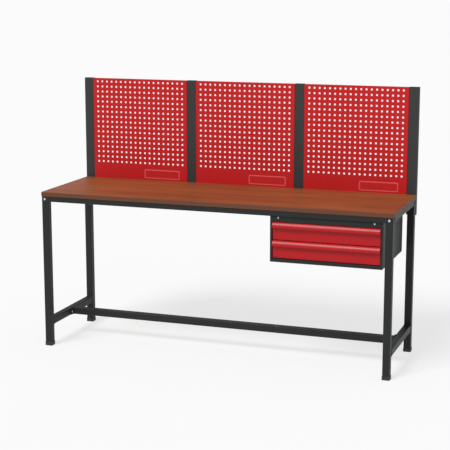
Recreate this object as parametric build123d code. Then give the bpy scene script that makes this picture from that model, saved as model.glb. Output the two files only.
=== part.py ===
from build123d import *
import os

# Workbench with a two-drawer unit and a perforated tool wall. Millimetres, +Z up.
# X runs along the bench, the front faces -Y. Everything is laid out in bench
# coordinates (worktop centred on Y = 0) and moved by BENCH_Y when it is written,
# so the origin lies on the floor under the middle of the whole outline.

# ---- driving dimensions: worktop and frame ----
TOP_L = 2025.0           # worktop length
TOP_D = 600.0            # worktop depth
TOP_H = 900.0            # worktop surface above the floor
TOP_T = 25.0             # board thickness
TOP_CORNER = 3.0         # rounding of the board's upright corners
TOP_EDGE = 1.5           # rounding of its upper edge
TUBE = 40.0              # square tube of the legs and stretchers
WALL = 2.0               # tube wall
RAIL_H = 30.0            # height of the rails under the worktop
TUBE_ROUND = 4.0         # outer corner of every square tube
FRAME_INSET = 2.0        # legs stand back from the worktop's front and ends
SHOE_W = 44.0            # plastic shoe round each leg's foot
SHOE_H = 22.0
SHOE_FLOOR = 4.0         # plastic under the end of the leg
SHOE_ROUND = 6.0
SHOE_BEVEL = 1.0
STRETCH_Z = 120.0        # underside of the lower stretchers
PLATE_T = 4.0            # flange on each end of the long stretcher
PLATE_W = 92.0
PLATE_ROUND = 5.0
PLATE_BOLT_IN = 13.0     # bolt's centre in from the flange's end

# ---- tool wall ----
BACK_H = 600.0           # height of the wall above the worktop
UP_COUNT = 4
UP_D = 30.0              # depth of an upright, front to back
UP_WALL = 2.0
UP_LOW = 785.0           # lower end of the uprights, behind the rear rail
CAP_T = 3.0              # flange of an upright's end cap
CAP_PLUG = 14.0          # length of the cap's plug
CAP_WALL = 2.0           # wall of the hollow plug
CAP_PLAY = 0.2           # clearance round the plug
CAP_BEVEL = 0.8
PANEL_W = 600.0
PANEL_GAP = 0.5          # clearance between a panel and its uprights
PANEL_BEHIND = 10.0      # panel reaches this far down behind the board's rear edge
SHEET = 1.5
PANEL_RETURN = 20.0      # folded side edges, screwed to the uprights
PANEL_HEM = 12.0         # folded top and bottom edges
PITCH = 30.0             # hole grid
HOLE = 10.0              # side of a square hole
COLS = 19
ROWS = 17
FIRST_ROW = 20.0         # top row below the panel's upper edge
TAG_L = 225.0            # blank raised plate on each panel's plain band
TAG_H = 54.0
TAG_T = 1.0
TAG_RIGHT = 48.0         # plate's end to the panel's right edge
TAG_LOW = 9.0            # plate's lower edge above the worktop
TAG_ROUND = 8.0
TAG_BEVEL = 0.5
PANEL_SCREW_IN = 60.0    # end screws in from a panel's upper and lower edge
PANEL_SCREW_Y = 13.0     # screws behind the panel's face

# ---- drawer unit ----
UNIT_X = 650.0           # middle of the unit
UNIT_W = 614.0
UNIT_FRONT = -290.0
UNIT_D = 500.0
UNIT_H = 250.0
UPPER_LIP = 30.0
LOWER_LIP = 20.0
SIDE_FLANGE = 11.0       # folded front edge of the unit's sides
DRAWER_H = 100.0         # height taken by one drawer
FRONT_GAP = 1.5          # above and below a drawer front
FRONT_SIDE_GAP = 2.0
FRONT_FACE = -284.0      # face of the drawer fronts
FRONT_RETURN = 12.0
FRONT_ROUND = 1.2
GRIP_OUT = 18.0          # how far the grip stands out of the face
GRIP_H = 30.0
GRIP_SHEET = 1.5
GRIP_DROP = 5.0          # straight edge that the fingers pull
GRIP_FOOT = 12.0         # leg that lies on the face
GRIP_BULGE = (0.62, 0.31)  # hood's middle, as parts of its reach and its height
TRAY_SHEET = 1.2
TRAY_LOW = 7.0           # tray floor above the drawer's lower line
TRAY_H = 72.0
TRAY_BACK = 175.0
TRAY_ROUND = 2.0
STRIP_T = 10.5           # channel that carries a slide inside the unit
STRIP_BACK = 4.0         # channel starts behind the unit's folded edge
SLIDE_T = 12.7
SLIDE_L = 450.0
SLIDE_FRONT = -268.0
SLIDE_H = 45.0
SLIDE_MID_Z = 40.0       # slide's centre line above the drawer's lower line
SLIDE_SHEET = 1.2
SLIDE_STEP = 1.9         # each member sits this far inside the one that holds it
SLIDE_DEPTH = 9.5        # flange of the outer member
MIDDLE_PROUD = 1.5       # middle member's flange reaches this far past the outer's
HANGER = 30.0            # square tube between the unit and the worktop
HANGER_IN = 70.0         # its middle in from the unit's side

# ---- fasteners ----
BOLT_R = 4.0
BOLT_HEAD_R = 7.0
BOLT_HEAD_H = 5.0
SCREW_R = 2.0
SCREW_HEAD_R = 4.5
SCREW_HEAD_H = 2.5
BOARD_BITE = 15.0        # wood screw's reach into the board
TUBE_BITE = 12.0         # bolt's reach past the part that it holds
CORNER_BOLT_L = 50.0
LEG_BOLT_STEP = 50.0     # between the two bolts into a rear leg
RAIL_BOLT_STEP = 28.0    # between the two bolts into the rear rail
SHEET_SCREW_L = 8.0
LIP_SCREW_L = 6.0
FRONT_SCREW_L = 2.4
RAIL_SCREW_X = (-850, -420, 0, 290)
SIDE_SCREW_Y = (-140, 140)
FRONT_SCREW_X = (-200, -70, 70, 200)
HANGER_SCREW_FRONT = 90.0
HANGER_SCREW_REAR = 60.0
LIP_SCREW_IN = 45.0
LIP_SCREW_LOW = 9.0

# ---- worked-out places ----
TOP_UNDER = TOP_H - TOP_T
LEG_X = TOP_L / 2 - FRAME_INSET - TUBE / 2
LEG_Y_FRONT = -TOP_D / 2 + FRAME_INSET + TUBE / 2
LEG_Y_REAR = TOP_D / 2 - TUBE / 2
LEG_IN = LEG_X - TUBE / 2
MID_Y = (LEG_Y_FRONT + LEG_Y_REAR) / 2
RAIL_Z = TOP_UNDER - RAIL_H / 2
STRETCH_MID = STRETCH_Z + TUBE / 2
UP_W = (TOP_L - 3 * PANEL_W) / UP_COUNT
UP_STEP = PANEL_W + UP_W
UP_Y = TOP_D / 2 + UP_D / 2
WALL_TOP = TOP_H + BACK_H
UNIT_TOP = TOP_UNDER - RAIL_H
UNIT_BOTTOM = UNIT_TOP - UNIT_H
UNIT_BACK = UNIT_FRONT + UNIT_D
FRONT_REACH = TOP_D / 2 - FRAME_INSET + BOLT_HEAD_H
REAR_REACH = TOP_D / 2 + UP_D + BOLT_HEAD_H
BENCH_Y = (FRONT_REACH - REAR_REACH) / 2
DRAWER_LINES = {
    "upper": UNIT_TOP - UPPER_LIP - DRAWER_H,
    "lower": UNIT_TOP - UPPER_LIP - 2 * DRAWER_H,
}
SIDES = {"left": -1, "right": 1}


def block(x0, x1, y0, y1, z0, z1):
    """Plain box between two corners."""
    middle = Pos((x0 + x1) / 2, (y0 + y1) / 2, (z0 + z1) / 2)
    return middle * Box(x1 - x0, y1 - y0, z1 - z0)


def section(width, height, wall):
    """Cross-section of a rectangular tube with rolled corners."""
    outline = RectangleRounded(width, height, TUBE_ROUND)
    return outline - RectangleRounded(width - 2 * wall, height - 2 * wall, TUBE_ROUND - wall)


def tube_up(x, y, z0, z1, width, depth, wall):
    """Tube standing on end."""
    return Pos(x, y, z0) * extrude(section(width, depth, wall), z1 - z0)


def tube_along_x(x0, x1, y, z, depth, height, wall):
    """Tube lying along the bench."""
    return Pos(x0, y, z) * extrude(Plane.YZ * section(depth, height, wall), x1 - x0)


def tube_along_y(x, y0, y1, z, width, height, wall):
    """Tube lying from front to back."""
    return Pos(x, y1, z) * extrude(Plane.XZ * section(width, height, wall), y1 - y0)


def fastener(head_r, head_h, shank_r, length):
    """Button-head screw on the Z axis: head above Z = 0, shank below, hex socket."""
    head = Pos(0, 0, head_h / 2) * Cylinder(head_r, head_h)
    head = fillet(head.edges().group_by(Axis.Z)[-1], head_h * 0.55)
    shank = Pos(0, 0, -length / 2) * Cylinder(shank_r, length)
    socket = Pos(0, 0, head_h) * extrude(RegularPolygon(head_r * 0.42, 6), -head_h * 0.5)
    return head + shank - socket


def bolt(length):
    return fastener(BOLT_HEAD_R, BOLT_HEAD_H, BOLT_R, length)


def screw(length):
    return fastener(SCREW_HEAD_R, SCREW_HEAD_H, SCREW_R, length)


FACING = {
    "front": Rot(90, 0, 0),
    "rear": Rot(-90, 0, 0),
    "down": Rot(180, 0, 0),
    "left": Rot(0, -90, 0),
    "right": Rot(0, 90, 0),
}


def place(shape, facing, x, y, z):
    """Put a fastener's seat at a point with its head facing one way."""
    return Pos(x, y, z) * FACING[facing] * shape


# ---------------------------------------------------------------- frame
def worktop():
    board = block(-TOP_L / 2, TOP_L / 2, -TOP_D / 2, TOP_D / 2, TOP_UNDER, TOP_H)
    board = fillet(board.edges().filter_by(Axis.Z), TOP_CORNER)
    return fillet(board.faces().sort_by(Axis.Z)[-1].edges(), TOP_EDGE)


def leg(x, y):
    return tube_up(x, y, SHOE_FLOOR, TOP_UNDER, TUBE, TUBE, WALL)


def shoe(x, y):
    """Plastic shoe that the end of a leg stands in."""
    outside = extrude(RectangleRounded(SHOE_W, SHOE_W, SHOE_ROUND), SHOE_H)
    outside = chamfer(outside.edges().group_by(Axis.Z)[-1], SHOE_BEVEL)
    pocket = Pos(0, 0, SHOE_FLOOR) * extrude(RectangleRounded(TUBE, TUBE, TUBE_ROUND), SHOE_H)
    return Pos(x, y, 0) * (outside - pocket)


def stretcher_plate(side):
    """Flange on the long stretcher's end, bolted to the side stretcher."""
    x = side * (LEG_IN - PLATE_T / 2)
    plate = Box(PLATE_T, PLATE_W, TUBE)
    plate = fillet(plate.edges().filter_by(Axis.X), PLATE_ROUND)
    return Pos(x, MID_Y, STRETCH_MID) * plate


def stretcher_bolts():
    reach = PLATE_W / 2 - PLATE_BOLT_IN
    bolts = []
    for name, side in SIDES.items():
        facing = "left" if name == "right" else "right"
        for y in (MID_Y - reach, MID_Y + reach):
            seat_x = side * (LEG_IN - PLATE_T)
            bolts.append(place(bolt(TUBE_BITE), facing, seat_x, y, STRETCH_MID))
    return bolts


def corner_bolts():
    """Bolts through the front legs into the ends of the side rails."""
    front = LEG_Y_FRONT - TUBE / 2
    shape = bolt(CORNER_BOLT_L)
    return [place(shape, "front", side * LEG_X, front, RAIL_Z) for side in SIDES.values()]


def worktop_screws():
    """Wood screws up through the rails into the board."""
    seats = [(x, y) for y in (LEG_Y_FRONT, LEG_Y_REAR) for x in RAIL_SCREW_X]
    seats += [(side * LEG_X, y) for side in SIDES.values() for y in SIDE_SCREW_Y]
    shape = screw(RAIL_H + BOARD_BITE)
    return [place(shape, "down", x, y, TOP_UNDER - RAIL_H) for x, y in seats]


# ---------------------------------------------------------------- tool wall
def upright_x(index):
    return -TOP_L / 2 + UP_W / 2 + index * UP_STEP


def upright(index):
    return tube_up(upright_x(index), UP_Y, UP_LOW + CAP_T, WALL_TOP - CAP_T, UP_W, UP_D, UP_WALL)


def end_cap(index, upper):
    """Plastic cap with a plug that fits inside the upright."""
    plug_w = UP_W - 2 * UP_WALL - 2 * CAP_PLAY
    plug_d = UP_D - 2 * UP_WALL - 2 * CAP_PLAY
    flange = extrude(RectangleRounded(UP_W, UP_D, TUBE_ROUND), CAP_T)
    flange = chamfer(flange.edges().group_by(Axis.Z)[-1], CAP_BEVEL)
    plug = extrude(RectangleRounded(plug_w, plug_d, 2), -CAP_PLUG)
    bore = RectangleRounded(plug_w - 2 * CAP_WALL, plug_d - 2 * CAP_WALL, 1)
    cap = flange + plug - Pos(0, 0, -CAP_PLUG) * extrude(bore, CAP_PLUG - 1)
    if upper:
        return Pos(upright_x(index), UP_Y, WALL_TOP - CAP_T) * cap
    return Pos(upright_x(index), UP_Y, UP_LOW + CAP_T) * Rot(180, 0, 0) * cap


def upright_bolts():
    """Two bolts through each upright: into the rear leg, or into the rear rail."""
    rear = TOP_D / 2 + UP_D
    bolts = []
    for index in range(UP_COUNT):
        x = upright_x(index)
        if index in (0, UP_COUNT - 1):
            leg_x = LEG_X if x > 0 else -LEG_X
            seats = [(leg_x, RAIL_Z), (leg_x, RAIL_Z - LEG_BOLT_STEP)]
        else:
            seats = [(x - RAIL_BOLT_STEP / 2, RAIL_Z), (x + RAIL_BOLT_STEP / 2, RAIL_Z)]
        for seat_x, seat_z in seats:
            bolts.append(place(bolt(UP_D + TUBE_BITE), "rear", seat_x, rear, seat_z))
    return bolts


def panel(index):
    """Perforated sheet with folded edges, seen from the front at Y = TOP_D / 2."""
    width = PANEL_W - 2 * PANEL_GAP
    height = BACK_H - PANEL_GAP + PANEL_BEHIND
    middle_x = upright_x(index) + UP_STEP / 2
    low = TOP_H - PANEL_BEHIND
    grid_mid = WALL_TOP - FIRST_ROW - (ROWS - 1) * PITCH / 2 - (low + height / 2)
    holes = Pos(0, grid_mid) * GridLocations(PITCH, PITCH, COLS, ROWS)
    face = Rectangle(width, height) - [spot * Rectangle(HOLE, HOLE) for spot in holes]
    sheet = extrude(Plane.XZ * face, -SHEET)
    sheet = Pos(middle_x, TOP_D / 2, low + height / 2) * sheet
    x0 = middle_x - width / 2
    x1 = middle_x + width / 2
    y0 = TOP_D / 2
    sheet += block(x0, x0 + SHEET, y0, y0 + PANEL_RETURN, low, low + height)
    sheet += block(x1 - SHEET, x1, y0, y0 + PANEL_RETURN, low, low + height)
    sheet += block(x0, x1, y0, y0 + PANEL_HEM, low, low + SHEET)
    sheet += block(x0, x1, y0, y0 + PANEL_HEM, low + height - SHEET, low + height)
    return sheet


def panel_screws(index):
    """Screws through a panel's side returns into the uprights."""
    screws = []
    inside = PANEL_W / 2 - PANEL_GAP - SHEET
    middle_x = upright_x(index) + UP_STEP / 2
    y = TOP_D / 2 + PANEL_SCREW_Y
    shape = screw(SHEET_SCREW_L)
    for z in (TOP_H + PANEL_SCREW_IN, TOP_H + BACK_H / 2, WALL_TOP - PANEL_SCREW_IN):
        screws.append(place(shape, "right", middle_x - inside, y, z))
        screws.append(place(shape, "left", middle_x + inside, y, z))
    return screws


def blank_tag(index):
    """Plain raised plate on the panel's unperforated band."""
    x1 = upright_x(index) + UP_STEP / 2 + PANEL_W / 2 - TAG_RIGHT
    plate = extrude(Plane.XZ * RectangleRounded(TAG_L, TAG_H, TAG_ROUND), TAG_T)
    plate = chamfer(plate.edges().group_by(Axis.Y)[0], TAG_BEVEL)
    return Pos(x1 - TAG_L / 2, TOP_D / 2, TOP_H + TAG_LOW + TAG_H / 2) * plate


# ---------------------------------------------------------------- drawer unit
def unit_side(side):
    """Side sheet with its front edge folded inwards."""
    outer = UNIT_X + side * UNIT_W / 2
    inner = outer - side * SHEET
    fold = outer - side * SIDE_FLANGE
    x0, x1 = sorted((outer, inner))
    f0, f1 = sorted((outer, fold))
    sheet = block(x0, x1, UNIT_FRONT, UNIT_BACK, UNIT_BOTTOM, UNIT_TOP)
    return sheet + block(f0, f1, UNIT_FRONT, UNIT_FRONT + SHEET, UNIT_BOTTOM, UNIT_TOP)


def unit_deck(z0, z1, lip_z0, lip_z1):
    """Top or bottom sheet of the unit with its front lip."""
    half = UNIT_W / 2 - SHEET
    lip_half = UNIT_W / 2 - SIDE_FLANGE
    behind = UNIT_FRONT + SHEET
    sheet = block(UNIT_X - half, UNIT_X + half, behind, UNIT_BACK, z0, z1)
    sheet += block(UNIT_X - lip_half, UNIT_X + lip_half, UNIT_FRONT, behind, lip_z0, lip_z1)
    return sheet


def unit_back():
    half = UNIT_W / 2 - SHEET
    low = UNIT_BOTTOM + SHEET
    return block(UNIT_X - half, UNIT_X + half, UNIT_BACK - SHEET, UNIT_BACK, low, UNIT_TOP - SHEET)


def hanger_x(side):
    return UNIT_X + side * (UNIT_W / 2 - HANGER_IN)


def hanger(side):
    """Tube between the unit's top sheet and the worktop."""
    x = hanger_x(side)
    y0 = LEG_Y_FRONT + TUBE / 2
    return tube_along_y(x, y0, UNIT_BACK, UNIT_TOP + HANGER / 2, HANGER, HANGER, WALL)


def hanger_screws():
    """Long screws up through the unit's top sheet and the hangers into the board."""
    rows = (UNIT_FRONT + HANGER_SCREW_FRONT, UNIT_BACK - HANGER_SCREW_REAR)
    shape = screw(HANGER + BOARD_BITE)
    z = UNIT_TOP - SHEET
    return [place(shape, "down", hanger_x(side), y, z) for side in SIDES.values() for y in rows]


def lip_screws():
    """Two screws through the unit's upper lip."""
    spread = UNIT_W / 2 - LIP_SCREW_IN
    z = UNIT_TOP - LIP_SCREW_LOW
    shape = screw(LIP_SCREW_L)
    return [place(shape, "front", UNIT_X + side * spread, UNIT_FRONT, z) for side in SIDES.values()]


def channel(x0, x1, half_height, sheet, y0, y1, z, web_at):
    """C-channel along Y. web_at says which end of x0..x1 carries the web."""
    low = min(x0, x1)
    high = max(x0, x1)
    body = block(low, high, y0, y1, z - half_height, z + half_height)
    inner_low = low + sheet if web_at == low else low - 1
    inner_high = high - sheet if web_at == high else high + 1
    inner = half_height - sheet
    return body - block(inner_low, inner_high, y0 - 1, y1 + 1, z - inner, z + inner)


def slide_x(side, depth):
    """X of a plane in a slide, a given depth in from the carrier channel's wall side."""
    wall = UNIT_X + side * (UNIT_W / 2 - SHEET)
    return wall - side * depth


def slide_strip(line, side):
    """Channel welded to the unit's side, which carries the slide clear of the folded edge."""
    x0 = slide_x(side, 0)
    x1 = slide_x(side, STRIP_T)
    y0 = UNIT_FRONT + SHEET + STRIP_BACK
    return channel(x0, x1, SLIDE_H / 2, SHEET, y0, SLIDE_FRONT + SLIDE_L, line + SLIDE_MID_Z, x1)


def slide_member(line, side, start, end, half_height, web):
    """One rolled member of a telescopic slide."""
    x0 = slide_x(side, STRIP_T + start)
    x1 = slide_x(side, STRIP_T + end)
    web_x = x0 if web == "outer" else x1
    z = line + SLIDE_MID_Z
    y1 = SLIDE_FRONT + SLIDE_L
    return channel(x0, x1, half_height, SLIDE_SHEET, SLIDE_FRONT, y1, z, web_x)


def slide_outer(line, side):
    return slide_member(line, side, 0, SLIDE_DEPTH, SLIDE_H / 2, "outer")


def slide_middle(line, side):
    reach = SLIDE_DEPTH + MIDDLE_PROUD
    return slide_member(line, side, SLIDE_STEP, reach, SLIDE_H / 2 - SLIDE_STEP, "outer")


def slide_inner(line, side):
    start = 2 * SLIDE_STEP
    return slide_member(line, side, start, SLIDE_T, SLIDE_H / 2 - start, "inner")


def tray_half_width():
    return UNIT_W / 2 - SHEET - STRIP_T - SLIDE_T


def tray(line):
    """Folded steel drawer box, open at the top."""
    half = tray_half_width()
    y0 = FRONT_FACE + SHEET
    z0 = line + TRAY_LOW
    z1 = z0 + TRAY_H
    box = block(UNIT_X - half, UNIT_X + half, y0, TRAY_BACK, z0, z1)
    box = fillet(box.edges().filter_by(Axis.Z), TRAY_ROUND)
    t = TRAY_SHEET
    return box - block(UNIT_X - half + t, UNIT_X + half - t, y0 + t, TRAY_BACK - t, z0 + t, z1 + 1)


def drawer_front(line):
    """Folded front: a face with four returns."""
    half = UNIT_W / 2 - SIDE_FLANGE - FRONT_SIDE_GAP
    z0 = line + FRONT_GAP
    z1 = line + DRAWER_H - FRONT_GAP
    back = FRONT_FACE + FRONT_RETURN
    pan = block(UNIT_X - half, UNIT_X + half, FRONT_FACE, back, z0, z1)
    pan = fillet(pan.faces().sort_by(Axis.Y)[0].edges(), FRONT_ROUND)
    s = SHEET
    return pan - block(UNIT_X - half + s, UNIT_X + half - s, FRONT_FACE + s, back + 1, z0 + s, z1 - s)


def grip(line):
    """Full-width grip: a leg on the face, a sloping hood and a short drop that fingers pull."""
    half = UNIT_W / 2 - SIDE_FLANGE - FRONT_SIDE_GAP
    top = line + DRAWER_H - FRONT_GAP
    out = GRIP_OUT
    low = -GRIP_H
    t = GRIP_SHEET
    drop = low + GRIP_DROP
    hood = (out * GRIP_BULGE[0], low * GRIP_BULGE[1])
    under = (hood[0] - 0.7 * t, hood[1] - 0.7 * t)
    edges = [
        Line((0, 0), (t, 0)),
        ThreePointArc((t, 0), hood, (out, drop)),
        Line((out, drop), (out, low)),
        Line((out, low), (out - t, low)),
        Line((out - t, low), (out - t, drop)),
        ThreePointArc((out - t, drop), under, (t, -1.25 * t)),
        Line((t, -1.25 * t), (t, -GRIP_FOOT)),
        Line((t, -GRIP_FOOT), (0, -GRIP_FOOT)),
        Line((0, -GRIP_FOOT), (0, 0)),
    ]
    # Local x points out of the face (-Y) and local y points up.
    plane = Plane(origin=(UNIT_X + half, FRONT_FACE, top), x_dir=(0, -1, 0), z_dir=(-1, 0, 0))
    profile = plane * make_face(edges)
    return extrude(profile, 2 * half)


def front_screws(line):
    """Screws from inside the tray into the front."""
    y = FRONT_FACE + SHEET + TRAY_SHEET
    z = line + TRAY_LOW + TRAY_H / 2
    shape = screw(FRONT_SCREW_L)
    return [place(shape, "rear", UNIT_X + x, y, z) for x in FRONT_SCREW_X]


# ---------------------------------------------------------------- writing
def write(name, shape):
    """Move a node into the row's frame and write it."""
    solids = shape if isinstance(shape, list) else [shape]
    moved = [Pos(0, BENCH_Y, 0) * solid for solid in solids]
    export_step(moved[0] if len(moved) == 1 else Compound(children=moved), f"parts/{name}.step")


def write_frame():
    write("worktop", worktop())
    for row, y in (("front", LEG_Y_FRONT), ("rear", LEG_Y_REAR)):
        write(f"rail_{row}", tube_along_x(-LEG_IN, LEG_IN, y, RAIL_Z, TUBE, RAIL_H, WALL))
        for name, side in SIDES.items():
            write(f"leg_{row}_{name}", leg(side * LEG_X, y))
            write(f"shoe_{row}_{name}", shoe(side * LEG_X, y))
    y0 = LEG_Y_FRONT + TUBE / 2
    y1 = LEG_Y_REAR - TUBE / 2
    for name, side in SIDES.items():
        write(f"rail_{name}", tube_along_y(side * LEG_X, y0, y1, RAIL_Z, TUBE, RAIL_H, WALL))
        write(f"stretcher_{name}", tube_along_y(side * LEG_X, y0, y1, STRETCH_MID, TUBE, TUBE, WALL))
        write(f"stretcher_plate_{name}", stretcher_plate(side))
    reach = LEG_IN - PLATE_T
    write("stretcher_long", tube_along_x(-reach, reach, MID_Y, STRETCH_MID, TUBE, TUBE, WALL))
    write("stretcher_bolts", stretcher_bolts())
    write("corner_bolts", corner_bolts())
    write("worktop_screws", worktop_screws())


def write_tool_wall():
    for index in range(UP_COUNT):
        write(f"upright_{index + 1}", upright(index))
    write("upright_caps_top", [end_cap(index, True) for index in range(UP_COUNT)])
    write("upright_caps_bottom", [end_cap(index, False) for index in range(UP_COUNT)])
    write("upright_bolts", upright_bolts())
    screws = []
    for index, name in enumerate(("left", "middle", "right")):
        write(f"panel_{name}", panel(index))
        write(f"blank_plate_{name}", blank_tag(index))
        screws += panel_screws(index)
    write("panel_screws", screws)


def write_unit():
    for name, side in SIDES.items():
        write(f"unit_side_{name}", unit_side(side))
        write(f"unit_hanger_{name}", hanger(side))
    write("unit_top", unit_deck(UNIT_TOP - SHEET, UNIT_TOP, UNIT_TOP - UPPER_LIP, UNIT_TOP))
    lip_top = UNIT_BOTTOM + LOWER_LIP
    write("unit_bottom", unit_deck(UNIT_BOTTOM, UNIT_BOTTOM + SHEET, UNIT_BOTTOM, lip_top))
    write("unit_back", unit_back())
    write("unit_hanger_screws", hanger_screws())
    write("unit_lip_screws", lip_screws())


def write_drawers():
    for level, line in DRAWER_LINES.items():
        write(f"drawer_{level}_tray", tray(line))
        write(f"drawer_{level}_front", drawer_front(line))
        write(f"drawer_{level}_grip", grip(line))
        write(f"drawer_{level}_screws", front_screws(line))
        strips = [slide_strip(line, side) for side in SIDES.values()]
        write(f"slide_{level}_strips", strips)
        write(f"slide_{level}_outer", [slide_outer(line, side) for side in SIDES.values()])
        write(f"slide_{level}_middle", [slide_middle(line, side) for side in SIDES.values()])
        write(f"slide_{level}_inner", [slide_inner(line, side) for side in SIDES.values()])


os.makedirs("parts", exist_ok=True)
write_frame()
write_tool_wall()
write_unit()
write_drawers()
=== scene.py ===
# %% [markdown]
# # A workbench with a hung drawer unit and a perforated tool wall
# The steel, the board and everything that slides were designed as solids. They arrive here
# as a fixed frame in metres, standing on Z = 0, with the front of the bench facing -Y.
# What is left for this notebook is how things look: paint, wood, plating and moulded plastic,
# the weld beads that hold the tubes together, and the small rims and rivets
# that are too fine to be worth modelling as solids.

# %% Load the frame
import math

import bmesh
import bpy
import numpy as np
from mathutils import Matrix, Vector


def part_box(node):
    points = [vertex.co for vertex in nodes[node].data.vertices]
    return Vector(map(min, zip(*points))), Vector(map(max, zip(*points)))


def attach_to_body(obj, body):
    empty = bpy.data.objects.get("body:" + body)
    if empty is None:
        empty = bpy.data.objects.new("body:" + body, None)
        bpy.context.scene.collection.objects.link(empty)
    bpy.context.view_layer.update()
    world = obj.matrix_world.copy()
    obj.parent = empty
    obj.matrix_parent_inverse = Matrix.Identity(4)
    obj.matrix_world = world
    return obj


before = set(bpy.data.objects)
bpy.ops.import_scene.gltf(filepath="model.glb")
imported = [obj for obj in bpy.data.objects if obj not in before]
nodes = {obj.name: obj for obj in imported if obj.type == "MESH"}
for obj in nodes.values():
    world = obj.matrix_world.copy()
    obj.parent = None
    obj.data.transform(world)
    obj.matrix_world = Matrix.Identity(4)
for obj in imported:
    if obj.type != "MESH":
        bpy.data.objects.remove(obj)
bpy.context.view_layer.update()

MM = 0.001

# %% [markdown]
# ## Camera
# The bench is seen by a standing visitor, a few paces off its drawer end, through a long lens:
# the verticals stay nearly upright and the far end is only a little smaller than the near one.
# A camera in Blender looks down its own -Z, so a turn about X of ninety degrees less the
# downward pitch, followed by a turn about Z, aims it. Places are in metres, angles in radians,
# and the lens and its sensor in millimetres, as on a real camera.

# %% Place the camera
EYE = (2.3598, -6.7806, 2.1208)
TURN = 0.3375
PITCH = 0.1932
LENS = 103.4
SENSOR = 36.0
FAR_LIMIT = 600

lens = bpy.data.cameras.new("viewpoint")
lens.lens = LENS
lens.sensor_width = SENSOR
lens.clip_end = FAR_LIMIT
camera = bpy.data.objects.new("viewpoint", lens)
camera.location = EYE
camera.rotation_euler = (math.pi / 2 - PITCH, 0, TURN)
bpy.context.collection.objects.link(camera)
bpy.context.scene.camera = camera
print("camera at", EYE, "lens", LENS, "mm")

# %% [markdown]
# ## Shader sums written as Python
# A finish is mostly arithmetic on patterns: take a noise, stretch its contrast, keep it near
# the edges only. Wired by hand that is dozens of Math nodes. The class below wraps one
# socket and gives it the usual operators, so `1 - mask * 0.3` adds its own nodes.
# Colours never go through it, because a Math node would turn them grey. Nodes of every other
# kind come from `add_node`, which makes the node's settings first and then fills its sockets.

# %% A socket that can be added and multiplied
class Wire:
    """One output socket. The operators are for sockets that carry a number."""

    def __init__(self, tree, socket):
        self.tree = tree
        self.socket = socket

    def reckon(self, operation, *values):
        """A Math node: the operation's name, then what goes in, numbers or wires."""
        return add_node(self.tree, "ShaderNodeMath", {"operation": operation}, dict(enumerate(values)))

    def __add__(self, other):
        return self.reckon("ADD", self, other)

    def __sub__(self, other):
        return self.reckon("SUBTRACT", self, other)

    def __rsub__(self, other):
        return self.reckon("SUBTRACT", other, self)

    def __mul__(self, other):
        return self.reckon("MULTIPLY", self, other)

    def __truediv__(self, other):
        return self.reckon("DIVIDE", self, other)

    def __abs__(self):
        return self.reckon("ABSOLUTE", self)

    __radd__ = __add__
    __rmul__ = __mul__

    def least(self, other):
        return self.reckon("MINIMUM", self, other)

    def most(self, other):
        return self.reckon("MAXIMUM", self, other)

    def fraction(self):
        return self.reckon("FRACT", self)

    def clamped(self):
        return self.most(0.0).least(1.0)


# %% Filling sockets and adding nodes
def feed(tree, socket, value):
    """Link a wire to a socket, or set a plain number, vector or colour on it."""
    if isinstance(value, Wire):
        tree.links.new(value.socket, socket)
    else:
        socket.default_value = value


def add_node(tree, kind, settings, inputs, output=0):
    """Add a node: its type, its settings, its inputs by name or number, and the output wanted."""
    made = tree.nodes.new(kind)
    for key, value in settings.items():
        setattr(made, key, value)
    for key, value in inputs.items():
        feed(tree, made.inputs[key], value)
    return Wire(tree, made.outputs[output])


# %% [markdown]
# A material starts as Blender's Principled shader. `Finish` holds it while it is being built,
# and has short names for the few nodes that every finish needs. Patterns read Object
# coordinates. Every part of the bench sits at the origin with its place in its mesh, so those
# are simply metres in the room, and a 3 mm pattern is a 3 mm pattern on every part.

# %% A material under construction
class Finish:
    """A named material with a Principled shader and the surface's place in metres."""

    def __init__(self, name):
        self.material = bpy.data.materials.new(name)
        self.material.use_nodes = True
        self.tree = self.material.node_tree
        self.shader = self.tree.nodes["Principled BSDF"]
        self.place = self.node("ShaderNodeTexCoord", {}, {}, "Object")

    def node(self, kind, settings, inputs, output=0):
        """Add a node to this material, as add_node does."""
        return add_node(self.tree, kind, settings, inputs, output)

    def axes(self):
        """The surface's X, Y and Z as three numbers."""
        return [self.node("ShaderNodeSeparateXYZ", {}, {0: self.place}, name) for name in "XYZ"]

    def stretched(self, scale):
        """The surface's place with each axis scaled on its own."""
        return self.node("ShaderNodeMapping", {}, {"Vector": self.place, "Scale": scale})

    def noise(self, scale, detail=2.0, roughness=0.5, stretch=(1, 1, 1), distortion=0.0):
        """Soft noise about 0.5. One cell is 1 / scale metres, divided again by the stretch."""
        inputs = {
            "Vector": self.stretched(stretch),
            "Scale": scale,
            "Detail": detail,
            "Roughness": roughness,
            "Distortion": distortion,
        }
        return self.node("ShaderNodeTexNoise", {}, inputs)

    def ramp(self, value, low, high):
        """0 before low, 1 past high, and a smooth change between. High may be the smaller one."""
        inputs = {"Value": value, "From Min": low, "From Max": high}
        return self.node("ShaderNodeMapRange", {"interpolation_type": "SMOOTHSTEP"}, inputs)

    def tint(self, mask, first, second):
        """Colour first where the mask is 0, second where it is 1."""
        return self.node("ShaderNodeMix", {"data_type": "RGBA"}, {0: mask, 6: first, 7: second}, 2)

    def relief(self, height, depth, strength=1.0):
        """Tilt the light on the surface as if it stood up by height times depth metres."""
        inputs = {"Height": height, "Distance": depth, "Strength": strength}
        self.put("Normal", self.node("ShaderNodeBump", {}, inputs))

    def put(self, name, value):
        """Give one of the shader's own sockets a number, a colour or a wire."""
        feed(self.tree, self.shader.inputs[name], value)


def shade(colour, factor):
    """A colour times a factor, no channel past 1, with an alpha of 1."""
    return (*[min(1.0, channel * factor) for channel in colour], 1.0)


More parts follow.
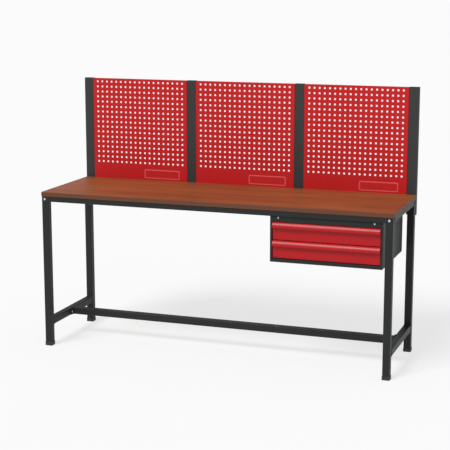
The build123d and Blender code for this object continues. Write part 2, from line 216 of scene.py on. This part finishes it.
# %% [markdown]
# ## Powder coat
# Almost all of the steel is powder coated: dry paint dust is drawn onto the metal by a charge,
# then baked until it flows. It flows together only partly, so the skin keeps a fine
# orange peel, about two millimetres across and a tenth of one deep. The dust is thinner on
# sharp edges, which are the first to polish and to show bare steel in use. Every edge of a
# straight part is also painted lighter, as a painted highlight.
#
# An image of scratches would be the quick way. Here the worn edges are worked out instead: on a
# tube, a point near an edge is close to two of its faces at once. Of the distances to the nearest
# face along X, Y and Z, the middle one is therefore small only along the edges, and four
# least-or-most sums find it. Colours are strengths of light, which read darker than they look.

# %% Distance to the nearest edge of a straight part
def edge_distance(finish, low, high):
    """Middle one of the distances a, b, c along X, Y and Z to the box's nearest face, in metres.

    It is the greater of least(a, b) and least(most(a, b), c).
    """
    gaps = []
    for axis, start, end in zip(finish.axes(), low, high):
        gaps.append((axis - start).least(end - axis))
    a, b, c = gaps
    return a.least(b).most(a.most(b).least(c))


# %% Baked powder paint
GREY_PAINT = (0.0205, 0.0220, 0.0220)
# Painted light: the uprights take a lighter copy of the legs' grey paint, as if more light fell on them.
UPRIGHT_GREY_PAINTED_LIT = (0.0400, 0.0425, 0.0420)
PANEL_PAINT = (0.50, 0.0120, 0.0135)
DRAWER_PAINT = (0.405, 0.0053, 0.0080)
BARE_STEEL = (0.34, 0.34, 0.35, 1)

CLOUDS_PER_M = 5
SPECKS_PER_M = 900
PEEL_PER_M = 480
CHIPS_PER_M = 70
PEEL_DEPTH = 0.14 * MM
COAT_THINS = 2.1 * MM      # this far from an edge the coat begins to thin
COAT_THINNEST = 0.9 * MM   # and this far from it, it is as thin as it gets
EDGE_HIGHLIGHT = 1.9             # painted highlight: how much lighter the paint is made along every edge


def powder_coat(name, colour, roughness, box=None, fade=0.10, shine=0.15):
    """Baked powder paint: broad unevenness, orange peel and, on a box, thin polished edges painted
    lighter as a highlight, with chips of bare steel.
    """
    finish = Finish(name)
    finish.put("Specular IOR Level", shine)
    cloud = finish.noise(CLOUDS_PER_M, detail=4, roughness=0.6)
    speck = finish.noise(SPECKS_PER_M, detail=1)
    peel = finish.noise(PEEL_PER_M, detail=2, roughness=0.45)
    tone = (cloud * 0.6 + speck * 0.4 - 0.5) * 2.0 + 0.5
    paint = finish.tint(tone.clamped(), shade(colour, 1 - fade), shade(colour, 1 + fade))
    rough = roughness + (cloud - 0.5) * 0.12 + (speck - 0.5) * 0.08
    if box is not None:
        thin = finish.ramp(edge_distance(finish, *box), COAT_THINS, COAT_THINNEST)
        chips = finish.ramp(finish.noise(CHIPS_PER_M, detail=5, roughness=0.7), 0.60, 0.68)
        worn = thin * chips
        # painted highlight: every edge is made lighter than the paint
        edge_highlighted = finish.tint(thin * 0.35, paint, shade(colour, EDGE_HIGHLIGHT))
        paint = finish.tint(worn * 0.8, edge_highlighted, BARE_STEEL)
        rough = rough - thin * 0.08
        finish.put("Metallic", worn * 0.7)
    finish.put("Base Color", paint)
    finish.put("Roughness", rough.clamped())
    finish.relief(peel, PEEL_DEPTH, 0.75)
    return finish.material


print("orange peel", round(1 / PEEL_PER_M / MM, 1), "mm across,", PEEL_DEPTH / MM, "mm deep")

# %% [markdown]
# ## The board
# The top is a beech plywood board stained brown and oiled. A rotary-cut face veneer shows long,
# lazy figure along the board, crossed by short dark pores that never bend. Cut through, plywood
# is a stack of veneers, every other one turned across, so end grain and long grain alternate
# down the edge as dark and light stripes.
#
# Both are the same recipe read at different scales: a noise squeezed across the grain gives the
# figure, a much finer one gives the pores, and the height inside the board, counted in veneers,
# gives the stripes. The surface's own direction decides which of them is seen.

# %% Brown oiled plywood
VENEER = 1.9 * MM
DARK_FIGURE = (0.185, 0.048, 0.014, 1)
LIGHT_FIGURE = (0.380, 0.108, 0.034, 1)
PORE = (0.085, 0.020, 0.008, 1)
END_GRAIN = (0.085, 0.030, 0.016, 1)
LONG_GRAIN = (0.17, 0.066, 0.034, 1)
GLUE_LINE = (0.04, 0.014, 0.009, 1)
GRAIN_CONTRAST = 3.2


def plywood(name, low):
    """Face veneer on top and below, and a stack of veneers round the edge.

    A veneer's number is (height - bottom) / VENEER. Half that number has a fraction below a half in
    one veneer and above it in the next, which tells end grain from long grain.
    """
    finish = Finish(name)
    height = finish.axes()[2]
    figure = finish.noise(1.0, detail=6, roughness=0.62, stretch=(1.3, 15, 15), distortion=0.9)
    streak = finish.noise(1.0, detail=3, roughness=0.6, stretch=(2.2, 120, 120))
    pore = finish.noise(1.0, detail=2, roughness=0.5, stretch=(45, 900, 900))
    wash = finish.noise(1.6, detail=3)
    pores = finish.ramp(pore, 0.60, 0.74)
    grain = (figure * 0.55 + streak * 0.30 + wash * 0.15 - 0.5) * GRAIN_CONTRAST + 0.5
    face = finish.tint(grain.clamped(), DARK_FIGURE, LIGHT_FIGURE)
    face = finish.tint(pores * 0.45, face, PORE)
    finish.put("Specular IOR Level", 0.22)

    count = (height - low[2]) / VENEER
    turned = finish.ramp(abs((count * 0.5).fraction() - 0.5), 0.22, 0.28)
    glue = finish.ramp(abs(count.fraction() - 0.5), 0.42, 0.48)
    fibre = finish.noise(1.0, detail=3, roughness=0.65, stretch=(260, 260, 900))
    stack = (turned * 0.7 + fibre * 0.3).clamped()
    layer = finish.tint(stack, END_GRAIN, LONG_GRAIN)
    edge = finish.tint(glue * 0.55, layer, GLUE_LINE)

    facing = finish.node("ShaderNodeNewGeometry", {}, {}, "Normal")
    upward = abs(finish.node("ShaderNodeSeparateXYZ", {}, {0: facing}, "Z"))
    on_face = finish.ramp(upward, 0.45, 0.75)
    finish.put("Base Color", finish.tint(on_face, edge, face))
    worn = finish.ramp(finish.noise(2.4, detail=5, roughness=0.65), 0.35, 0.75)
    finish.put("Roughness", (0.40 + worn * 0.12 + pores * 0.2 + (1 - on_face) * 0.15).clamped())
    finish.relief(streak * 0.4 - pores * 0.6, 0.06 * MM, 0.5)
    return finish.material


underside, surface = [corner[2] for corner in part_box("worktop")]
print("plywood with", round((surface - underside) / VENEER), "veneers")

# %% [markdown]
# ## Plated steel and moulded plastic
# Bolts and slides are zinc plated. Bright zinc isn't a mirror: it is slightly blue, with a soft
# haze and the faint lines that rolling left along a slide. Moulded polypropylene, on the shoes
# and the caps, is nearly black with a spark-eroded texture that scatters light and hides marks.
# A weld was painted with the frame, so it has the frame's grey, a little glossier on its ripples.

# %% Zinc plate and rolled strip
BLUE_ZINC = (0.56, 0.57, 0.60, 1)
BRIGHT_ZINC = (0.74, 0.74, 0.73, 1)
DULL_STRIP = (0.46, 0.47, 0.50, 1)
BRIGHT_STRIP = (0.68, 0.68, 0.68, 1)


def zinc_plate(name):
    """Bright plating: patches of slightly different blue-grey and haze."""
    finish = Finish(name)
    patch = finish.noise(140, detail=4, roughness=0.6)
    finish.put("Base Color", finish.tint(patch, BLUE_ZINC, BRIGHT_ZINC))
    finish.put("Metallic", 1.0)
    finish.put("Roughness", 0.24 + patch * 0.16)
    finish.relief(finish.noise(900, detail=2), 0.02 * MM, 0.4)
    return finish.material


def rolled_strip(name):
    """Zinc-plated strip with rolling lines along Y."""
    finish = Finish(name)
    lines = finish.noise(1.0, detail=3, roughness=0.7, stretch=(1800, 6, 1800))
    patch = finish.noise(18, detail=3)
    finish.put("Base Color", finish.tint(lines * 0.6 + patch * 0.4, DULL_STRIP, BRIGHT_STRIP))
    finish.put("Metallic", 1.0)
    finish.put("Roughness", 0.26 + lines * 0.18)
    finish.relief(lines, 0.02 * MM, 0.4)
    return finish.material


zinc = zinc_plate("bright zinc")
strip = rolled_strip("rolled zinc strip")
print("plated:", zinc.name, "and", strip.name)

# %% Black plastic and painted weld
BLACK_PLASTIC = (0.013, 0.013, 0.014, 1)
FLOOR_DUST = (0.10, 0.092, 0.08, 1)
DUST_REACH = 20 * MM   # above the floor


def moulded_plastic(name):
    """Black polypropylene with a fine eroded texture and a little floor dust low down."""
    finish = Finish(name)
    grit = finish.noise(1500, detail=2, roughness=0.6)
    height = finish.axes()[2]
    low_down = 1 - finish.ramp(height, 0.0, DUST_REACH)
    dust = low_down * finish.ramp(finish.noise(160, detail=4), 0.42, 0.62)
    finish.put("Base Color", finish.tint(dust * 0.35, BLACK_PLASTIC, FLOOR_DUST))
    finish.put("Roughness", 0.52 + grit * 0.16)
    finish.relief(grit, 0.05 * MM, 0.6)
    return finish.material


def weld_paint(name, colour):
    """Painted weld: the same coat, pulled thin and glossier over the ripples."""
    finish = Finish(name)
    blotch = finish.noise(260, detail=3)
    finish.put("Base Color", finish.tint(blotch, shade(colour, 0.8), shade(colour, 1.25)))
    finish.put("Roughness", 0.36 + blotch * 0.2)
    finish.relief(blotch, 0.08 * MM, 0.5)
    return finish.material


plastic = moulded_plastic("black polypropylene")
painted_weld = weld_paint("painted weld", GREY_PAINT)
print("also:", plastic.name, "and", painted_weld.name)

# %% [markdown]
# ## Blank plates
# Each panel carries a plain raised plate on its unperforated band. It has the panel's red, and a
# paler border: a painted highlight for the light its bevelled rim catches. The border
# is found from the plate's own box: the distance to the nearest end or long edge, in metres.

# %% Red plate with a painted highlight along its border
BORDER = 6.0 * MM
# painted highlight: the paler red of the plate's border
HIGHLIGHT_BORDER_RED = (0.72, 0.10, 0.095, 1)


def bordered_plate(name, colour, pale, box):
    """Powder coat painted paler, as a highlight, within BORDER of the nearest of the plate's four sides.
    """
    finish = Finish(name)
    (x0, _, z0), (x1, _, z1) = box
    x, _, z = finish.axes()
    inside = (x - x0).least(x1 - x).least((z - z0).least(z1 - z))
    border = 1 - finish.ramp(inside, BORDER * 0.85, BORDER * 1.15)
    cloud = finish.noise(30, detail=4, roughness=0.6)
    field = finish.tint(cloud, shade(colour, 0.92), shade(colour, 1.08))
    # the border's paler red is a painted highlight on the bevelled rim
    finish.put("Base Color", finish.tint(border, field, pale))
    finish.put("Roughness", 0.40 + cloud * 0.1 - border * 0.08)
    finish.put("Specular IOR Level", 0.3)
    finish.relief(finish.noise(620, detail=2, roughness=0.45) + border * 2.0, 0.05 * MM, 0.55)
    return finish.material


print("border", BORDER / MM, "mm wide")

# %% [markdown]
# ## Which finish goes where
# The straight painted parts each get their own copy of the powder coat, because the worn-edge sum
# needs the part's own box. Folded and perforated sheets are painted without it: their
# edges are folds, where the coat stays whole.

# %% Paint every part
def cover(node, finish):
    """Give a part one finish all over."""
    slots = nodes[node].data.materials
    slots.clear()
    slots.append(finish)


STRAIGHT = (
    "leg_", "rail_", "stretcher_left", "stretcher_right", "stretcher_long", "upright_", "unit_hanger_",
)
sheet_grey = powder_coat("grey powder coat, sheet", GREY_PAINT, roughness=0.48)
panel_red = powder_coat("red powder coat, panels", PANEL_PAINT, roughness=0.46, fade=0.05, shine=0.2)
drawer_red = powder_coat("red powder coat, drawers", DRAWER_PAINT, roughness=0.32, fade=0.05, shine=0.25)


def finish_for(node):
    """Pick a finish from the part's name."""
    if node == "worktop":
        return plywood("brown oiled plywood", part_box(node)[0])
    if node.startswith("shoe_") or "caps" in node:
        return plastic
    if "bolts" in node or "screws" in node:
        return zinc
    if node.startswith("slide_") and not node.endswith("strips"):
        return strip
    if node.startswith("panel_"):
        return panel_red
    if node.startswith("blank_plate_"):
        return bordered_plate(f"red plate, {node}", PANEL_PAINT, HIGHLIGHT_BORDER_RED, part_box(node))
    if node.endswith(("_front", "_grip")) and node.startswith("drawer_"):
        return drawer_red
    if node.startswith(STRAIGHT):
        # the uprights take the lighter, painted-light copy of the grey
        paint = UPRIGHT_GREY_PAINTED_LIT if node.startswith("upright_") else GREY_PAINT
        return powder_coat(f"grey powder coat, {node}", paint, roughness=0.46, box=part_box(node))
    return sheet_grey


for node in nodes:
    cover(node, finish_for(node))
print("finishes:", len(bpy.data.materials))

# %% [markdown]
# ## Surfaces from arrays
# New pieces are grids of points: rows follow a path, columns go round a section. Numpy works out
# the whole grid at once, and the faces of any grid are the same four neighbours, so one
# function turns them all into meshes. Grids may close on themselves both ways, as a weld
# bead round a tube does, or pinch shut at a pole, as a rivet does; there the doubled
# points are merged.

# %% From a grid of points to a mesh
SAME_POINT = 0.001 * MM


def mesh_from_grids(name, grids, close_rows=True, close_columns=True):
    """Join grids of shape (rows, columns, 3) in one mesh, with faces pointing outwards.

    Point (i, j) makes a face with (i + 1, j), (i + 1, j + 1) and (i, j + 1). Closing a grid
    repeats its first row or column of numbers, so the last faces end where the first began.
    """
    points, faces, base = [], [], 0
    for grid in grids:
        rows, columns = grid.shape[:2]
        index = np.arange(rows * columns).reshape(rows, columns) + base
        if close_rows:
            index = np.vstack([index, index[:1]])
        if close_columns:
            index = np.hstack([index, index[:, :1]])
        corners = (index[:-1, :-1], index[1:, :-1], index[1:, 1:], index[:-1, 1:])
        faces.append(np.stack(corners, axis=-1).reshape(-1, 4))
        points.append(grid.reshape(-1, 3))
        base += rows * columns
    mesh = bpy.data.meshes.new(name)
    mesh.from_pydata(np.concatenate(points).tolist(), [], np.concatenate(faces).tolist())
    work = bmesh.new()
    work.from_mesh(mesh)
    bmesh.ops.remove_doubles(work, verts=work.verts, dist=SAME_POINT)
    bmesh.ops.recalc_face_normals(work, faces=work.faces)
    work.to_mesh(mesh)
    work.free()
    mesh.polygons.foreach_set("use_smooth", np.ones(len(mesh.polygons), dtype=bool))
    piece = bpy.data.objects.new(name, mesh)
    bpy.context.collection.objects.link(piece)
    return piece


def attach(piece, body, finish):
    """Give a new piece its finish, the body it moves with and the slot it is painted from."""
    piece.data.materials.append(finish)
    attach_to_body(piece, body)
    print(piece.name, len(piece.data.polygons), "faces on", body)


# %% [markdown]
# ## Weld beads
# Tube to tube, and tube to flange on the long stretcher, the frame is joined by a bead of weld
# laid all round. A hand-held torch moves in small steps, and each step freezes as a ripple, a
# couple of millimetres from the last. A bead is a circle carried round the tube's outline, whose
# radius swells and shrinks along the way. The outline is a rectangle with rolled corners, so its
# points are four quarter circles joined by straight runs, then spaced evenly by the length
# walked. A curve with a bevel would be the quick way, but its radius could follow the ripples
# only with control points for each of them.

# %% A ring carried round a tube
CORNER_POINTS = 7
RIPPLE = 2.6 * MM


def rounded_outline(half_u, half_v, corner, step):
    """Even points round a rectangle with quarter-circle corners, and the length walked to each."""
    turn = np.linspace(0, np.pi / 2, CORNER_POINTS)
    angles = np.concatenate([turn + quarter * np.pi / 2 for quarter in range(4)])
    sign_u = np.repeat([1, -1, -1, 1], CORNER_POINTS)
    sign_v = np.repeat([1, 1, -1, -1], CORNER_POINTS)
    u = sign_u * (half_u - corner) + corner * np.cos(angles)
    v = sign_v * (half_v - corner) + corner * np.sin(angles)
    u = np.append(u, u[0])
    v = np.append(v, v[0])
    walked = np.concatenate([[0], np.cumsum(np.hypot(np.diff(u), np.diff(v)))])
    count = int(walked[-1] / step)
    even = np.linspace(0, walked[-1], count, endpoint=False)
    return np.interp(even, walked, u), np.interp(even, walked, v), even


def ring_round(centre, axes, outline, radius, sides, swell=0.0):
    """Circle of radius r (1 + swell sin(2 pi s / RIPPLE)), s being the length walked so far.

    It stands on two axes: the way the outline faces, and outwards. Outwards is the way ahead,
    from the point before to the point after, turned by a quarter.
    """
    across, up, facing = axes
    u, v, walked = outline
    ahead = np.stack([np.roll(u, -1) - np.roll(u, 1), np.roll(v, -1) - np.roll(v, 1)], axis=1)
    ahead /= np.linalg.norm(ahead, axis=1)[:, None]
    outward = ahead[:, 1:] * across - ahead[:, :1] * up
    path = centre + u[:, None] * across + v[:, None] * up
    angle = np.linspace(0, 2 * np.pi, sides, endpoint=False)[None, :, None]
    ring = np.cos(angle) * outward[:, None] + np.sin(angle) * facing
    swollen = radius * (1 + swell * np.sin(2 * np.pi * walked / RIPPLE))
    return path[:, None] + swollen[:, None, None] * ring


forty_mm_tube = rounded_outline(20 * MM, 20 * MM, 4 * MM, RIPPLE)
print("ripples round a 40 mm tube:", len(forty_mm_tube[0]))

# %% Weld every joint of the frame
TUBE_CORNER = 4 * MM
BEAD = 2.3 * MM
BEAD_SIDES = 8
RIPPLE_SWELL = 0.14
RIPPLE_POINTS = 5


def beads_of(node, axis):
    """The beads at both ends of a tube that runs along an axis, 0 for X and 1 for Y."""
    low, high = [np.array(corner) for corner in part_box(node)]
    other = 1 - axis
    along, sideways, up = np.eye(3)[[axis, other, 2]]
    middle = (low + high) / 2
    half = (high - low) / 2
    outline = rounded_outline(half[other], half[2], TUBE_CORNER, RIPPLE / RIPPLE_POINTS)
    beads = []
    for end in (low[axis], high[axis]):
        centre = middle.copy()
        centre[axis] = end
        beads.append(ring_round(centre, (sideways, up, along), outline, BEAD, BEAD_SIDES, RIPPLE_SWELL))
    return beads


for side in ("left", "right"):
    rings = beads_of(f"rail_{side}", 1) + beads_of(f"stretcher_{side}", 1)
    attach(mesh_from_grids(f"weld_beads_{side}_end", rings), "bench", painted_weld)
long_beads = beads_of("rail_front", 0) + beads_of("rail_rear", 0) + beads_of("stretcher_long", 0)
attach(mesh_from_grids("weld_beads_long_members", long_beads), "bench", painted_weld)

# %% [markdown]
# ## Rolled rims and rivets
# Sheet metal is never left with a raw edge where hands go, so each drawer's tray has its upper
# edge rolled over a wire: a thin round rim along all four walls. The plain raised
# plates on the tool wall are held by four domed rivets each, and larger ones hold the slides.
# A rim is a circle along the tray's outline; a rivet is a quarter ellipse spun round its axis.

# %% Tray rims
RIM = 1.7 * MM
RIM_SIDES = 12
RIM_CORNER = 3 * MM
RIM_STEP = 9 * MM
RIM_IN = 0.6 * MM     # from the tray's outline in to the middle of the rim
RIM_DOWN = 0.5 * MM   # and from the tray's top down to it


def rim_of(tray):
    """Circle of constant radius carried round the tray's upper edge."""
    low, high = [np.array(corner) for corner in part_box(tray)]
    half = (high - low) / 2 - RIM_IN
    centre = (low + high) / 2
    centre[2] = high[2] - RIM_DOWN
    outline = rounded_outline(half[0], half[1], RIM_CORNER, RIM_STEP)
    return ring_round(centre, np.eye(3), outline, RIM, RIM_SIDES)


for level in ("upper", "lower"):
    rim = mesh_from_grids(f"drawer_{level}_rim", [rim_of(f"drawer_{level}_tray")])
    attach(rim, f"drawer_{level}", sheet_grey)

# %% Rivets
DOME_ROWS = 6
DOME_SIDES = 16


def dome(centre, outward, radius, height):
    """Quarter ellipse, radius r sin t and height h cos t, spun about the way it faces."""
    t = np.linspace(0, np.pi / 2, DOME_ROWS)[:, None, None]
    spin = np.linspace(0, 2 * np.pi, DOME_SIDES, endpoint=False)[None, :, None]
    outward = np.array(outward, dtype=float)
    aside = np.roll(outward, 1)
    ring = np.cos(spin) * aside + np.sin(spin) * np.cross(outward, aside)
    return np.array(centre) + radius * np.sin(t) * ring + height * np.cos(t) * outward


PLATE_RIVET = (2.6 * MM, 0.9 * MM)   # radius and height
PLATE_RIVET_IN = 9 * MM

for name in ("left", "middle", "right"):
    low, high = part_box(f"blank_plate_{name}")
    xs = (low[0] + PLATE_RIVET_IN, high[0] - PLATE_RIVET_IN)
    zs = (low[2] + PLATE_RIVET_IN, high[2] - PLATE_RIVET_IN)
    domes = [dome((x, low[1], z), (0, -1, 0), *PLATE_RIVET) for x in xs for z in zs]
    rivets = mesh_from_grids(f"rivets_{name}", domes, close_rows=False)
    attach(rivets, "bench", panel_red)

# %% [markdown]
# The inner member of each slide is riveted to the drawer's tray through its web. The web is
# as thick as the strip it was rolled from, and it lies against the tray's side wall, so a
# rivet's seat is one strip's thickness out from the tray's own box.

# %% Rivets that hold the slides to the trays
SLIDE_STRIP = 1.2 * MM
SLIDE_RIVET = (4.2 * MM, 1.6 * MM)           # radius and height
SLIDE_RIVET_SPOTS = (0.06, 0.35, 0.65, 0.94)  # as shares of the slide's length

for level in ("upper", "lower"):
    wall_low, wall_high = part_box(f"drawer_{level}_tray")
    slide_low, slide_high = [np.array(corner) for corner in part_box(f"slide_{level}_inner")]
    z = (slide_low[2] + slide_high[2]) / 2
    ys = [slide_low[1] + spot * (slide_high[1] - slide_low[1]) for spot in SLIDE_RIVET_SPOTS]
    domes = [dome((wall_low[0] - SLIDE_STRIP, y, z), (-1, 0, 0), *SLIDE_RIVET) for y in ys]
    domes += [dome((wall_high[0] + SLIDE_STRIP, y, z), (1, 0, 0), *SLIDE_RIVET) for y in ys]
    rivets = mesh_from_grids(f"slide_rivets_{level}", domes, close_rows=False)
    attach(rivets, f"drawer_{level}", zinc)

# %% [markdown]
# ## Room and light
# The bench stands on a wide floor of white paper that is itself lit, as for a catalogue: it
# glows, so shadows on it stay faint and the paper is pale all the way to the back. The
# rest is a dim white sky, shown as bright as the paper where it is seen past the paper's end,
# and one broad lamp, high in front and a little to the left. It comes in at some fifty
# degrees, so each grip draws a bright line along its hood and lays a shadow on the face below,
# rather deeper than the grip stands out. The lamp is a sun, because a sun is equally strong
# everywhere on so large a floor; its wide angle is what makes it soft.

# %% Paper floor
WHITE = (1, 1, 1, 1)
PAPER_SHADES = ((0.255, 0.255, 0.255, 1), (0.27, 0.27, 0.27, 1))
FLOOR_REACH = 200.0   # metres each way
FLOOR_GLOW = 0.69     # the light the paper adds of its own
FLOOR_POINTS = 9


def floor_finish():
    """Lit studio paper: pale, with a barely visible unevenness."""
    finish = Finish("studio paper")
    patch = finish.noise(0.8, detail=3)
    finish.put("Base Color", finish.tint(patch, *PAPER_SHADES))
    finish.put("Roughness", 1.0)
    finish.put("Specular IOR Level", 0.0)
    finish.put("Emission Color", WHITE)
    finish.put("Emission Strength", FLOOR_GLOW)
    return finish.material


steps = np.linspace(-FLOOR_REACH, FLOOR_REACH, FLOOR_POINTS)
across, away = np.meshgrid(steps, steps, indexing="ij")
ground = np.stack([across, away, np.zeros_like(across)], axis=-1)
floor = mesh_from_grids("floor", [ground], close_rows=False, close_columns=False)
floor.data.materials.append(floor_finish())
print("floor", 2 * FLOOR_REACH, "m wide")

# %% White sky
SKY = 0.42        # what lights the bench
BACKDROP = 0.95   # what is seen behind it

world = bpy.data.worlds.new("white room")
world.use_nodes = True
sky = world.node_tree.nodes["Background"]
seen_directly = add_node(world.node_tree, "ShaderNodeLightPath", {}, {}, "Is Camera Ray")
feed(world.node_tree, sky.inputs["Strength"], SKY + seen_directly * (BACKDROP - SKY))
feed(world.node_tree, sky.inputs["Color"], WHITE)
bpy.context.scene.world = world
bpy.context.scene.view_settings.view_transform = "Standard"
print("sky", SKY, "as light and", BACKDROP, "as backdrop")

# %% Broad sun
SUN = 2.5         # watts on a square metre that faces it
SUN_WIDTH = math.radians(24)
SUN_HEIGHT = math.radians(52)
SUN_FROM = math.radians(-22)

light = bpy.data.lights.new("high front", "SUN")
light.energy = SUN
light.angle = SUN_WIDTH
sun = bpy.data.objects.new("high front", light)
sun.rotation_euler = (math.pi / 2 - SUN_HEIGHT, 0, SUN_FROM)
bpy.context.collection.objects.link(sun)
print("sun", round(math.degrees(SUN_HEIGHT)), "degrees up")
